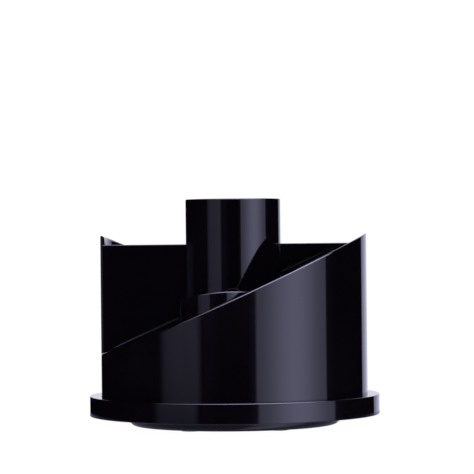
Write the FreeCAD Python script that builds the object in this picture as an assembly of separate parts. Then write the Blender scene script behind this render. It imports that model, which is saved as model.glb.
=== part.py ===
import FreeCAD, Part
import math
import os

# Rotating desk organiser.  A round tray turns on a ball race over a low foot.  It carries a tall pen
# tube, two identical half-round walls with sloping tops, two flat dividers and two round clip cups.
# Millimetres.  +Z is up, the turning axis is the Z axis and Z = 0 is the surface that it stands on.
# The front is -Y.  Everything on the tray is two-fold symmetric about the turning axis.

# ---- tray ----
TRAY_RADIUS = 74.2            # the widest part of the organiser
TRAY_HEIGHT = 10.1            # rim of the tray, from its lower edge to its top face
TRAY_PLATE = 2.4              # thickness of the floor of the tray
TRAY_SKIRT = 2.2              # thickness of the skirt that hangs from the floor
TRAY_EDGE_ROUND = 0.5         # rounding of the upper outer edge
TRAY_LEDGE = 6.0              # width of the tray's top that shows outside the walls
TRAY_RIB_COUNT = 12           # stiffening ribs under the floor
TRAY_RIB_THICK = 1.4
TRAY_RIB_HEIGHT = 3.0
TRAY_RIB_FIRST = 17.0         # degrees from +X to the first rib

# ---- walls ----
WALL_THICK = 2.2
WALL_LOW_HEIGHT = 21.5        # height above the tray of the low end of each wall's top
WALL_HIGH_HEIGHT = 82.2       # height above the tray of its tall end
WALL_TOP_SAG = 1.35           # how far the top hangs below the straight line between its ends
WALL_LIP_ROUND = 0.9          # rounding of the lip of each wall
WALL_END_BEVEL = 1.0          # width of the slanting face on the outer corner of the tall end
WALL_END_ANGLE = 25.0         # degrees between that face and the end of the wall

# ---- pen tube ----
TUBE_RADIUS = 24.35
TUBE_WALL = 2.0
TUBE_FLOOR = 2.0
TUBE_HEIGHT = 100.0           # height above the tray
TUBE_LIP_ROUND = 0.8
TUBE_SCREW_COUNT = 3
TUBE_SCREW_RADIUS = 16.0      # pitch radius of the screws under the tube

# ---- dividers ----
DIVIDER_THICK = 2.0
DIVIDER_HEIGHT = 77.1         # height above the tray
DIVIDER_EDGE_ROUND = 0.3
TONGUE_DEPTH = 1.0            # how far a divider reaches into the groove that holds it
TONGUE_CLEAR = 0.1            # clearance around the divider in its grooves

# ---- clip cups ----
CUP_DIRECTION = -98.3         # degrees from +X to the centre of the front cup
CUP_WALL = 1.8
CUP_GAP = 0.25                # gap between a cup and the tube, and between a cup and the wall
CUP_RIM_HEIGHT = 50.05        # height above the tray of the rim, at the cup's own centre line
CUP_RIM_TILT = 11.4           # degrees that the plane of the rim leans
CUP_RIM_TOWARD = -70.0        # degrees from +X to the high side of the front cup's rim
CUP_DEPTH = 25.0              # depth of the cup at its centre line
CUP_FLOOR = 1.8
CUP_LIP_ROUND = 0.7
CUP_SCREW_SPREAD = 9.0        # distance of each cup screw from the cup's centre

# ---- seats and screws that hold the tray's pieces ----
SEAT_DEPTH = 0.6              # depth of the recesses in the tray that locate walls, tube and dividers
SEAT_CLEAR = 0.1              # clearance around a piece in its recess
BOSS_RADIUS = 3.2
BOSS_BITE = 0.8               # how far a wall boss runs into its wall
BOSS_GAP = 0.3                # gap from a wall boss to the cup or divider beside it
BOSS_CAP = 1.6                # solid plastic left over the end of a screw
SCREW_RADIUS = 1.3
SCREW_LENGTH = 10.0
SCREW_HEAD_RADIUS = 2.8
SCREW_HEAD_HEIGHT = 1.8
SCREW_TIP = 1.0               # length of the cone at the end of the screw
THREAD_CLEAR = 0.05           # the pilot hole is this much larger in radius than the screw
SCREW_HOLE_CLEAR = 0.25       # clearance of a screw in the hole through the tray
HEAD_CLEAR = 0.5              # clearance around a screw head under the tray
CROSS_WIDTH = 0.8             # driver slot of a screw head
CROSS_DEPTH = 0.9

# ---- foot ----
FOOT_TOP_RADIUS = 54.4
FOOT_BOTTOM_RADIUS = 53.6     # where the sides would meet the underside if its edge were sharp
FOOT_HEIGHT = 4.7
FOOT_PLATE = 1.8
FOOT_SKIRT = 4.4              # thickness of the skirt above its rounded lower edge
FOOT_EDGE_ROUND = 0.5         # rounding of the upper edge
FOOT_LOWER_ROUND = 2.8        # rounding of the lower edge
FOOT_RIB_THICK = 1.6
FOOT_GAP = 0.4                # running gap between the foot and the lower edge of the tray
HUB_WALL = 2.5                # plastic around the bush
HUB_GAP = 1.5                 # from the top of the hub to the underside of the tray
WELL_WALL = 1.6               # ring around the retaining washer
WELL_CLEAR = 1.0

# ---- rubber pads ----
PAD_COUNT = 6
PAD_RADIUS = 5.3
PAD_CIRCLE = 43.0             # pitch radius of the pads
PAD_PROUD = 0.5               # how far a pad stands below the foot
PAD_RECESS = 0.8
PAD_CLEAR = 0.1
PAD_BOSS_WALL = 1.2
PAD_EDGE_ROUND = 0.3

# ---- spindle, bush and washers ----
SPINDLE_RADIUS = 6.0
SPINDLE_CLEAR = 0.06          # running clearance in radius of the spindle in its bush
BUSH_WALL = 2.0
BUSH_FLANGE = 0.8             # thickness of the flange
BUSH_FLANGE_REACH = 1.6       # how far the flange stands out from the bush
THRUST_THICK = 0.5
THRUST_BORE_CLEAR = 0.3
THRUST_PLAY = 0.05            # end play of the tray
WASHER_RADIUS = 10.0
WASHER_THICK = 0.6
WASHER_BORE_CLEAR = 0.2
PIVOT_RADIUS = 1.75
PIVOT_LENGTH = 9.0
PIVOT_HEAD_RADIUS = 3.6
PIVOT_HEAD_HEIGHT = 1.3

# ---- ball race ----
BALL_RADIUS = 2.0
BALL_COUNT = 20
BALL_CIRCLE = 34.0            # pitch radius of the balls
BALL_PLAY = 0.05              # clearance in radius of a ball in its tracks
BALL_CAGE_CLEAR = 0.15        # clearance in radius of a ball in the cage
RACE_HALF_WIDTH = 3.0
RACE_THICK = 1.6
RACE_FACE = 0.9               # distance of each race's inner face from the plane of the balls
RACE_LIP = 1.2                # thickness and height of the ribs that locate a race
RACE_CLEAR = 0.1
CAGE_THICK = 1.2
CAGE_HALF_WIDTH = 2.9

# ---- places worked out from the sizes above ----
FOOT_BOTTOM = PAD_PROUD
FOOT_TOP = FOOT_BOTTOM + FOOT_HEIGHT
FOOT_PLATE_UNDER = FOOT_TOP - FOOT_PLATE
TRAY_BOTTOM = FOOT_TOP + FOOT_GAP
TRAY_TOP = TRAY_BOTTOM + TRAY_HEIGHT
TRAY_UNDER = TRAY_TOP - TRAY_PLATE
SEAT_Z = TRAY_TOP - SEAT_DEPTH
SKIRT_INNER = TRAY_RADIUS - TRAY_SKIRT
WALL_RADIUS = TRAY_RADIUS - TRAY_LEDGE
WALL_INNER = WALL_RADIUS - WALL_THICK
TUBE_INNER = TUBE_RADIUS - TUBE_WALL
TUBE_TOP = TRAY_TOP + TUBE_HEIGHT
DIVIDER_TOP = TRAY_TOP + DIVIDER_HEIGHT
CUP_CENTRE = (WALL_INNER + TUBE_RADIUS) / 2
CUP_RADIUS = (WALL_INNER - TUBE_RADIUS) / 2 - CUP_GAP
CUP_RIM = TRAY_TOP + CUP_RIM_HEIGHT
WALL_BOSS_CIRCLE = WALL_INNER - BOSS_RADIUS + BOSS_BITE
SCREW_END = TRAY_UNDER + SCREW_LENGTH
BOSS_TOP = SCREW_END + BOSS_CAP
BALL_PLANE = TRAY_UNDER - RACE_THICK - RACE_FACE
LOWER_RACE_SEAT = BALL_PLANE - RACE_FACE - RACE_THICK
BUSH_BORE = SPINDLE_RADIUS + SPINDLE_CLEAR
BUSH_RADIUS = BUSH_BORE + BUSH_WALL
HUB_RADIUS = BUSH_RADIUS + HUB_WALL
HUB_TOP = TRAY_UNDER - HUB_GAP
SPINDLE_END = FOOT_PLATE_UNDER - THRUST_THICK - THRUST_PLAY
WASHER_UNDER = SPINDLE_END - WASHER_THICK
WELL_RADIUS = WASHER_RADIUS + WELL_CLEAR
FAR = 2 * (TRAY_RADIUS + TUBE_HEIGHT)   # larger than anything here, for cutting blocks

ORIGIN = FreeCAD.Vector(0, 0, 0)
UP = FreeCAD.Vector(0, 0, 1)


# ---- helpers ----
def cylinder(radius, low, high, x=0.0, y=0.0):
    """A vertical cylinder between two heights, about the line through (x, y)."""
    return Part.makeCylinder(radius, high - low, FreeCAD.Vector(x, y, low))


def ring(outer, inner, low, high):
    """A flat ring about the turning axis."""
    return cylinder(outer, low, high).cut(cylinder(inner, low, high))


def block(x_from, x_to, y_from, y_to, low, high):
    """A box between two corners."""
    corner = FreeCAD.Vector(x_from, y_from, low)
    return Part.makeBox(x_to - x_from, y_to - y_from, high - low, corner)


def turned(shape, degrees):
    """A copy of the shape, turned about the turning axis."""
    copy = shape.copy()
    copy.rotate(ORIGIN, UP, degrees)
    return copy


def polar(radius, degrees):
    """The x and y of a point at a radius and an angle from +X."""
    angle = math.radians(degrees)
    return radius * math.cos(angle), radius * math.sin(angle)


def around(shape, count, first=0.0):
    """Copies of the shape, evenly spaced about the turning axis."""
    return [turned(shape, first + 360.0 * i / count) for i in range(count)]


def space_above(point, normal):
    """A block that fills all the space on the far side of an inclined plane."""
    space = Part.makeBox(2 * FAR, 2 * FAR, FAR, FreeCAD.Vector(-FAR, -FAR, 0))
    space.Placement = FreeCAD.Placement(point, FreeCAD.Rotation(UP, normal))
    return space


def edges_in_plane(shape, point, normal):
    """The edges of a shape that lie in a plane all along their length."""
    unit = FreeCAD.Vector(normal).normalize()
    found = []
    for edge in shape.Edges:
        places = edge.discretize(5)
        if all(abs((place - point).dot(unit)) < 1e-4 for place in places):
            found.append(edge)
    return found


def wall_top_arc():
    """The shallow arc that the top of a wall follows, seen from the front."""
    low = FreeCAD.Vector(-WALL_RADIUS, 0, TRAY_TOP + WALL_LOW_HEIGHT)
    high = FreeCAD.Vector(WALL_RADIUS, 0, TRAY_TOP + WALL_HIGH_HEIGHT)
    middle = (low + high) / 2 - UP * WALL_TOP_SAG
    return Part.Arc(low, middle, high).toShape().Curve


def edges_on_arc(shape, arc):
    """The edges of a shape that keep to an arc all along their length, seen from the front."""
    found = []
    for edge in shape.Edges:
        offsets = [place - arc.Center for place in edge.discretize(5)]
        if all(abs(math.hypot(offset.x, offset.z) - arc.Radius) < 1e-3 for offset in offsets):
            found.append(edge)
    return found


def rounding(wanted, thick):
    """A rounding that leaves a narrow flat between the two sides of a wall."""
    return min(wanted, 0.45 * thick)


def screw(radius, length, head_radius, head_height, seat, x=0.0, y=0.0):
    """A cross-head screw that points up, with its head below the height of its seat."""
    shank = cylinder(radius, seat, seat + length - SCREW_TIP, x, y)
    tip_base = FreeCAD.Vector(x, y, seat + length - SCREW_TIP)
    tip = Part.makeCone(radius, radius / 3, SCREW_TIP, tip_base)
    under = seat - head_height
    head = cylinder(head_radius, under, seat, x, y)
    rim = edges_in_plane(head, FreeCAD.Vector(0, 0, under), UP)
    head = head.makeFillet(0.4 * head_height, rim)
    reach = 0.6 * head_radius
    half = CROSS_WIDTH / 2
    slot = block(x - reach, x + reach, y - half, y + half, under, under + CROSS_DEPTH)
    cross = slot.fuse(block(x - half, x + half, y - reach, y + reach, under, under + CROSS_DEPTH))
    return head.cut(cross).fuse([shank, tip]).removeSplitter()


# ---- where the screws go ----
def wall_screw_places():
    """The two screws beside the front cup and the two beside the dividers, for the front wall."""
    reach = CUP_RADIUS + BOSS_GAP + BOSS_RADIUS
    cosine = (WALL_BOSS_CIRCLE**2 + CUP_CENTRE**2 - reach**2) / (2 * WALL_BOSS_CIRCLE * CUP_CENTRE)
    beside_cup = math.degrees(math.acos(cosine))
    aside = DIVIDER_THICK / 2 + BOSS_GAP + BOSS_RADIUS
    beside_divider = math.degrees(math.asin(aside / WALL_BOSS_CIRCLE))
    angles = [-beside_divider, CUP_DIRECTION + beside_cup,
              CUP_DIRECTION - beside_cup, beside_divider - 180.0]
    return [polar(WALL_BOSS_CIRCLE, angle) for angle in angles]


def cup_screw_places():
    """The two screws of the front cup, on the line across the direction of the cup."""
    x, y = polar(CUP_CENTRE, CUP_DIRECTION)
    aside_x, aside_y = polar(CUP_SCREW_SPREAD, CUP_DIRECTION + 90.0)
    return [(x + aside_x, y + aside_y), (x - aside_x, y - aside_y)]


def tube_screw_places():
    """The screws under the pen tube."""
    return [polar(TUBE_SCREW_RADIUS, 90.0 + 360.0 * i / TUBE_SCREW_COUNT)
            for i in range(TUBE_SCREW_COUNT)]


def both_sides(places):
    """The places of one side of the tray and those opposite to them."""
    return places + [(-x, -y) for x, y in places]


def screws(places):
    """Equal screws, driven up through the tray."""
    return [screw(SCREW_RADIUS, SCREW_LENGTH, SCREW_HEAD_RADIUS, SCREW_HEAD_HEIGHT, TRAY_UNDER, x, y)
            for x, y in places]


def pilot_holes(places):
    """The holes in the bosses that the screws bite into."""
    return [cylinder(SCREW_RADIUS + THREAD_CLEAR, SEAT_Z, SCREW_END + THREAD_CLEAR, x, y)
            for x, y in places]


# ---- the pieces of the turning tray ----
def divider_slot(x_from, x_to, low, high):
    """The space that a divider's edge needs in the piece that holds it, on the +X side."""
    half = DIVIDER_THICK / 2 + TONGUE_CLEAR
    return block(x_from, x_to, -half, half, low, high)


def tray():
    """The turning tray: floor, skirt, spindle, ribs and the seats of all it carries."""
    body = cylinder(TRAY_RADIUS, TRAY_BOTTOM, TRAY_TOP)
    top_edge = edges_in_plane(body, FreeCAD.Vector(0, 0, TRAY_TOP), UP)
    body = body.makeFillet(TRAY_EDGE_ROUND, top_edge)
    body = body.cut(cylinder(SKIRT_INNER, TRAY_BOTTOM, TRAY_UNDER))
    lip_low = TRAY_UNDER - RACE_LIP
    race_outer = BALL_CIRCLE + RACE_HALF_WIDTH + RACE_CLEAR
    race_inner = BALL_CIRCLE - RACE_HALF_WIDTH - RACE_CLEAR
    outer_lip = ring(race_outer + RACE_LIP, race_outer, lip_low, TRAY_UNDER)
    inner_lip = ring(race_inner, race_inner - RACE_LIP, lip_low, TRAY_UNDER)
    half = TRAY_RIB_THICK / 2
    rib = block(race_outer + RACE_LIP / 2, SKIRT_INNER + TRAY_SKIRT / 2, -half, half,
                TRAY_UNDER - TRAY_RIB_HEIGHT, TRAY_UNDER + TRAY_PLATE / 2)
    ribs = around(rib, TRAY_RIB_COUNT, TRAY_RIB_FIRST)
    spindle = cylinder(SPINDLE_RADIUS, SPINDLE_END, TRAY_UNDER + TRAY_PLATE / 2)
    body = body.fuse([outer_lip, inner_lip, spindle] + ribs).removeSplitter()

    wall_seat = ring(WALL_RADIUS + SEAT_CLEAR, WALL_INNER - SEAT_CLEAR, SEAT_Z, TRAY_TOP)
    tube_seat = cylinder(TUBE_RADIUS + SEAT_CLEAR, SEAT_Z, TRAY_TOP)
    slot = divider_slot(TUBE_RADIUS, WALL_INNER, SEAT_Z, TRAY_TOP)
    cuts = [wall_seat, tube_seat, slot, turned(slot, 180.0)]
    places = both_sides(wall_screw_places()) + both_sides(cup_screw_places()) + tube_screw_places()
    for x, y in places:
        cuts.append(cylinder(SCREW_RADIUS + SCREW_HOLE_CLEAR, TRAY_UNDER, TRAY_TOP, x, y))
        cuts.append(cylinder(SCREW_HEAD_RADIUS + HEAD_CLEAR, TRAY_BOTTOM, TRAY_UNDER, x, y))
    cuts.append(cylinder(PIVOT_RADIUS + THREAD_CLEAR, SPINDLE_END, SPINDLE_END + PIVOT_LENGTH))
    return body.cut(cuts)


def front_wall():
    """The half-round wall of the front, its top cut by a shallow arc that rises to the +X side."""
    arc = wall_top_arc()
    shell = ring(WALL_RADIUS, WALL_INNER, SEAT_Z, TRAY_TOP + WALL_HIGH_HEIGHT + WALL_RADIUS)
    shell = shell.common(block(-FAR, FAR, -FAR, 0, 0, FAR))
    corner = FreeCAD.Vector(WALL_RADIUS - WALL_END_BEVEL, 0, 0)
    bevel_normal = FreeCAD.Vector(*polar(1.0, 90.0 - WALL_END_ANGLE), 0)
    above = Part.makeCylinder(arc.Radius, 2 * FAR, arc.Center - FreeCAD.Vector(0, FAR, 0),
                              FreeCAD.Vector(0, 1, 0))
    shell = shell.cut([space_above(corner, bevel_normal), above])
    lip = [edge for edge in edges_on_arc(shell, arc) if edge.BoundBox.XLength > WALL_RADIUS]
    shell = shell.makeFillet(rounding(WALL_LIP_ROUND, WALL_THICK), lip)

    slot = divider_slot(WALL_INNER - TONGUE_DEPTH, WALL_INNER + TONGUE_DEPTH,
                        SEAT_Z, DIVIDER_TOP + TONGUE_CLEAR)
    shell = shell.cut([slot, turned(slot, 180.0)])
    bosses = [cylinder(BOSS_RADIUS, TRAY_TOP, BOSS_TOP, x, y) for x, y in wall_screw_places()]
    return shell.fuse(bosses).removeSplitter().cut(pilot_holes(wall_screw_places()))


def pen_tube():
    """The tall tube in the middle, with a floor, screw bosses and a groove for each divider."""
    body = cylinder(TUBE_RADIUS, SEAT_Z, TUBE_TOP)
    body = body.cut(cylinder(TUBE_INNER, SEAT_Z + TUBE_FLOOR, TUBE_TOP))
    lip = edges_in_plane(body, FreeCAD.Vector(0, 0, TUBE_TOP), UP)
    body = body.makeFillet(rounding(TUBE_LIP_ROUND, TUBE_WALL), lip)
    slot = divider_slot(TUBE_RADIUS - TONGUE_DEPTH, TUBE_RADIUS + TONGUE_DEPTH,
                        SEAT_Z, DIVIDER_TOP + TONGUE_CLEAR)
    body = body.cut([slot, turned(slot, 180.0)])
    places = tube_screw_places()
    bosses = [cylinder(BOSS_RADIUS, SEAT_Z, BOSS_TOP, x, y) for x, y in places]
    return body.fuse(bosses).removeSplitter().cut(pilot_holes(places))


def right_divider():
    """The flat plate on the +X side, held in grooves of the tube, the walls and the tray."""
    inner = TUBE_RADIUS - TONGUE_DEPTH + TONGUE_CLEAR
    outer = WALL_INNER + TONGUE_DEPTH - TONGUE_CLEAR
    half = DIVIDER_THICK / 2
    plate = block(inner, outer, -half, half, SEAT_Z, DIVIDER_TOP)
    top = edges_in_plane(plate, FreeCAD.Vector(0, 0, DIVIDER_TOP), UP)
    long_edges = [edge for edge in top if edge.BoundBox.XLength > DIVIDER_THICK]
    return plate.makeFillet(rounding(DIVIDER_EDGE_ROUND, DIVIDER_THICK), long_edges)


def front_cup():
    """The clip cup of the front: a raised floor on two screw columns and a leaning rim."""
    x, y = polar(CUP_CENTRE, CUP_DIRECTION)
    inner = CUP_RADIUS - CUP_WALL
    floor_top = CUP_RIM - CUP_DEPTH
    tallest = CUP_RIM + CUP_RADIUS
    body = cylinder(CUP_RADIUS, TRAY_TOP, tallest, x, y)
    body = body.cut([cylinder(inner, floor_top, tallest, x, y),
                     cylinder(inner, TRAY_TOP, floor_top - CUP_FLOOR, x, y)])
    rim_point = FreeCAD.Vector(x, y, CUP_RIM)
    toward_x, toward_y = polar(math.tan(math.radians(CUP_RIM_TILT)), CUP_RIM_TOWARD)
    rim_normal = FreeCAD.Vector(-toward_x, -toward_y, 1)
    body = body.cut(space_above(rim_point, rim_normal))
    rim = edges_in_plane(body, rim_point, rim_normal)
    body = body.makeFillet(rounding(CUP_LIP_ROUND, CUP_WALL), rim)
    places = cup_screw_places()
    columns = [cylinder(BOSS_RADIUS, TRAY_TOP, floor_top - CUP_FLOOR / 2, *place) for place in places]
    return body.fuse(columns).removeSplitter().cut(pilot_holes(places))


# ---- the bearing ----
def race(low):
    """A steel track ring with its lower face at a height."""
    return ring(BALL_CIRCLE + RACE_HALF_WIDTH, BALL_CIRCLE - RACE_HALF_WIDTH, low, low + RACE_THICK)


def ball_track():
    """The round channel that the balls roll in, taken out of both races."""
    return Part.makeTorus(BALL_CIRCLE, BALL_RADIUS + BALL_PLAY, FreeCAD.Vector(0, 0, BALL_PLANE))


def ball_cage():
    """The flat ring that keeps the balls apart."""
    low = BALL_PLANE - CAGE_THICK / 2
    high = BALL_PLANE + CAGE_THICK / 2
    body = ring(BALL_CIRCLE + CAGE_HALF_WIDTH, BALL_CIRCLE - CAGE_HALF_WIDTH, low, high)
    pocket = cylinder(BALL_RADIUS + BALL_CAGE_CLEAR, low, high, BALL_CIRCLE)
    return body.cut(around(pocket, BALL_COUNT))


def balls():
    """The bearing balls."""
    ball = Part.makeSphere(BALL_RADIUS, FreeCAD.Vector(BALL_CIRCLE, 0, BALL_PLANE))
    return around(ball, BALL_COUNT)


# ---- the pieces of the foot ----
def foot():
    """The low round foot: skirt with a rounded lower edge, plate, hub, race seat, ribs, pad bosses."""
    body = Part.makeCone(FOOT_BOTTOM_RADIUS, FOOT_TOP_RADIUS, FOOT_HEIGHT,
                         FreeCAD.Vector(0, 0, FOOT_BOTTOM))
    top_edge = edges_in_plane(body, FreeCAD.Vector(0, 0, FOOT_TOP), UP)
    body = body.makeFillet(FOOT_EDGE_ROUND, top_edge)
    lower_edge = edges_in_plane(body, FreeCAD.Vector(0, 0, FOOT_BOTTOM), UP)
    body = body.makeFillet(FOOT_LOWER_ROUND, lower_edge)
    cavity = cylinder(FOOT_BOTTOM_RADIUS - FOOT_SKIRT, FOOT_BOTTOM, FOOT_PLATE_UNDER)
    body = body.cut(cavity)

    middle = (FOOT_TOP + FOOT_PLATE_UNDER) / 2
    seat_outer = BALL_CIRCLE + RACE_HALF_WIDTH + RACE_CLEAR
    seat_inner = BALL_CIRCLE - RACE_HALF_WIDTH - RACE_CLEAR
    seat = ring(seat_outer + RACE_LIP, seat_inner - RACE_LIP, middle, LOWER_RACE_SEAT + RACE_LIP)
    seat = seat.cut(ring(seat_outer, seat_inner, LOWER_RACE_SEAT, LOWER_RACE_SEAT + RACE_LIP))
    hub = cylinder(HUB_RADIUS, middle, HUB_TOP)
    well = ring(WELL_RADIUS + WELL_WALL, WELL_RADIUS, FOOT_BOTTOM, middle)
    pad_boss_radius = PAD_RADIUS + PAD_CLEAR + PAD_BOSS_WALL
    pad_boss = cylinder(pad_boss_radius, FOOT_BOTTOM, middle, PAD_CIRCLE)
    half = FOOT_RIB_THICK / 2
    rib = block(WELL_RADIUS + WELL_WALL / 2, FOOT_BOTTOM_RADIUS - FOOT_SKIRT / 2, -half, half,
                FOOT_BOTTOM, middle)
    ribs = around(rib, PAD_COUNT, 180.0 / PAD_COUNT)
    body = body.fuse([seat, hub, well] + around(pad_boss, PAD_COUNT) + ribs).removeSplitter()

    recess = cylinder(PAD_RADIUS + PAD_CLEAR, FOOT_BOTTOM, FOOT_BOTTOM + PAD_RECESS, PAD_CIRCLE)
    bore = cylinder(BUSH_RADIUS, FOOT_PLATE_UNDER, HUB_TOP)
    return body.cut([bore] + around(recess, PAD_COUNT))


def bush():
    """The flanged sleeve that the spindle turns in."""
    sleeve = cylinder(BUSH_RADIUS, FOOT_PLATE_UNDER, HUB_TOP)
    flange = cylinder(BUSH_RADIUS + BUSH_FLANGE_REACH, HUB_TOP, HUB_TOP + BUSH_FLANGE)
    bore = cylinder(BUSH_BORE, FOOT_PLATE_UNDER, HUB_TOP + BUSH_FLANGE)
    return sleeve.fuse(flange).removeSplitter().cut(bore)


def pads():
    """The rubber pads that the foot stands on."""
    pad = cylinder(PAD_RADIUS, 0, FOOT_BOTTOM + PAD_RECESS, PAD_CIRCLE)
    lower_edge = edges_in_plane(pad, ORIGIN, UP)
    pad = pad.makeFillet(min(PAD_EDGE_ROUND, 0.4 * PAD_PROUD), lower_edge)
    return around(pad, PAD_COUNT)


# ---- write each piece to its own file ----
def write(name, shapes):
    """One STEP file for a piece, or for a group of equal pieces."""
    solids = shapes if isinstance(shapes, list) else [shapes]
    solids = [solid for shape in solids for solid in shape.Solids]
    whole = solids[0] if len(solids) == 1 else Part.makeCompound(solids)
    whole.exportStep(os.path.join("parts", name + ".step"))
    print(name, len(solids), round(sum(solid.Volume for solid in solids), 1))


def main():
    """Build every piece and write it."""
    os.makedirs("parts", exist_ok=True)
    wall = front_wall()
    divider = right_divider()
    cup = front_cup()
    track = ball_track()
    thrust_low = FOOT_PLATE_UNDER - THRUST_THICK
    thrust_bore = SPINDLE_RADIUS + THRUST_BORE_CLEAR
    washer_bore = PIVOT_RADIUS + WASHER_BORE_CLEAR

    write("turntable_tray", tray())
    write("front_wall", wall)
    write("back_wall", turned(wall, 180.0))
    write("pen_tube", pen_tube())
    write("right_divider", divider)
    write("left_divider", turned(divider, 180.0))
    write("front_clip_cup", cup)
    write("back_clip_cup", turned(cup, 180.0))
    write("wall_screws", screws(both_sides(wall_screw_places())))
    write("cup_screws", screws(both_sides(cup_screw_places())))
    write("tube_screws", screws(tube_screw_places()))
    write("upper_race", race(BALL_PLANE + RACE_FACE).cut(track))
    write("retaining_washer", ring(WASHER_RADIUS, washer_bore, WASHER_UNDER, SPINDLE_END))
    write("pivot_screw", screw(PIVOT_RADIUS, PIVOT_LENGTH, PIVOT_HEAD_RADIUS, PIVOT_HEAD_HEIGHT,
                               WASHER_UNDER))
    write("ball_cage", ball_cage())
    write("bearing_balls", balls())
    write("foot_disc", foot())
    write("spindle_bush", bush())
    write("lower_race", race(LOWER_RACE_SEAT).cut(track))
    write("thrust_washer", ring(WASHER_RADIUS, thrust_bore, thrust_low, FOOT_PLATE_UNDER))
    write("foot_pads", pads())


main()
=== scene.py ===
"""Looks of a round desk organiser that turns on a low foot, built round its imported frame.

Lengths in the classes are millimetres, as on a maker's drawing, and become metres in the mesh.
+Z is up, the turning axis is the Z axis and the front of the organiser is -Y.
"""

from __future__ import annotations

import logging
import math
from contextlib import contextmanager
from dataclasses import dataclass, field
from enum import Enum
from typing import Callable, Iterator

import bmesh
import bpy
from mathutils import Matrix, Vector


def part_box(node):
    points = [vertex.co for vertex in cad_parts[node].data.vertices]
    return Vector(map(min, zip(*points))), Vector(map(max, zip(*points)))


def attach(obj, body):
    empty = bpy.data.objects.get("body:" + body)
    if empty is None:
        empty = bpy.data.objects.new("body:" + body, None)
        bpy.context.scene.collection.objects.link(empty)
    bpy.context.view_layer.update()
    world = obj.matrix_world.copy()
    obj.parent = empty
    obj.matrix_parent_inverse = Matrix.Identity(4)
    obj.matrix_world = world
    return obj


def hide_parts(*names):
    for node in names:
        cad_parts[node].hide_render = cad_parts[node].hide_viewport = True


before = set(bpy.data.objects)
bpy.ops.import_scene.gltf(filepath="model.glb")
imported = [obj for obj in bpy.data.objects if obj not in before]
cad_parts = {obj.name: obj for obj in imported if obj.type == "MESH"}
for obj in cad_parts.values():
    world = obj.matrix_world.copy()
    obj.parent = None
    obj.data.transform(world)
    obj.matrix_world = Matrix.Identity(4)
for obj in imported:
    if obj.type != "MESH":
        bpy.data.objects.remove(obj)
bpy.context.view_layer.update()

log = logging.getLogger("organiser")

MM = 0.001
AROUND = 256          # edges in a full circle of a large piece
AROUND_MIDDLE = 128   # edges in a full circle of a cup, a race seat or the hub
AROUND_SMALL = 64     # edges in a full circle of a boss or a pad
HAIR = 1e-6           # m within which a cut takes a corner as lying on it
ON_PLANE = 1e-3       # mm within which a place counts as on a plane
ON_CIRCLE = 0.02      # mm within which a place counts as on a circle about an axis
ON_ARC = 0.01         # mm within which a place counts as on the arc of the walls' tops
LEVEL = 0.9           # least upright share of the normal of a level face
PAST = 1.0            # mm that a cutter or a joined piece runs past the face that it meets
UP = Vector((0.0, 0.0, 1.0))
CENTRE = Vector((0.0, 0.0, 0.0))
WHITE = (1.0, 1.0, 1.0)

Colour = tuple[float, float, float]
Triple = tuple[float, float, float]
Sockets = dict[str | int, object]
FaceTest = Callable[[Vector, Vector], bool]   # of a face's middle (mm) and its normal
EdgeTest = Callable[[Vector, Vector], bool]   # of an edge's two ends (mm)


class Body(Enum):
    """The bodies of the frame that new pieces ride on."""

    FOOT = "foot"
    CAROUSEL = "carousel"


class Slot(Enum):
    """The material slots of the record."""

    GLOSS_BLACK = "gloss_black"
    FOOT_BLACK = "foot_black"
    RUBBER = "pad_rubber"


class Combine(Enum):
    """How two solid pieces are combined."""

    JOIN = "UNION"
    CUT = "DIFFERENCE"


# ---------------- shader maths


class Value:
    """A number socket of a node graph, with arithmetic."""

    def __init__(self, graph: Graph, socket: bpy.types.NodeSocket) -> None:
        """Wrap a socket of a graph."""
        self.graph = graph
        self.socket = socket

    def __add__(self, other: object) -> Value:
        """self + other"""
        return self.graph.math("ADD", self, other)

    def __rsub__(self, other: object) -> Value:
        """other - self"""
        return self.graph.math("SUBTRACT", other, self)

    def __mul__(self, other: object) -> Value:
        """self * other"""
        return self.graph.math("MULTIPLY", self, other)

    __radd__ = __add__
    __rmul__ = __mul__


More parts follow.
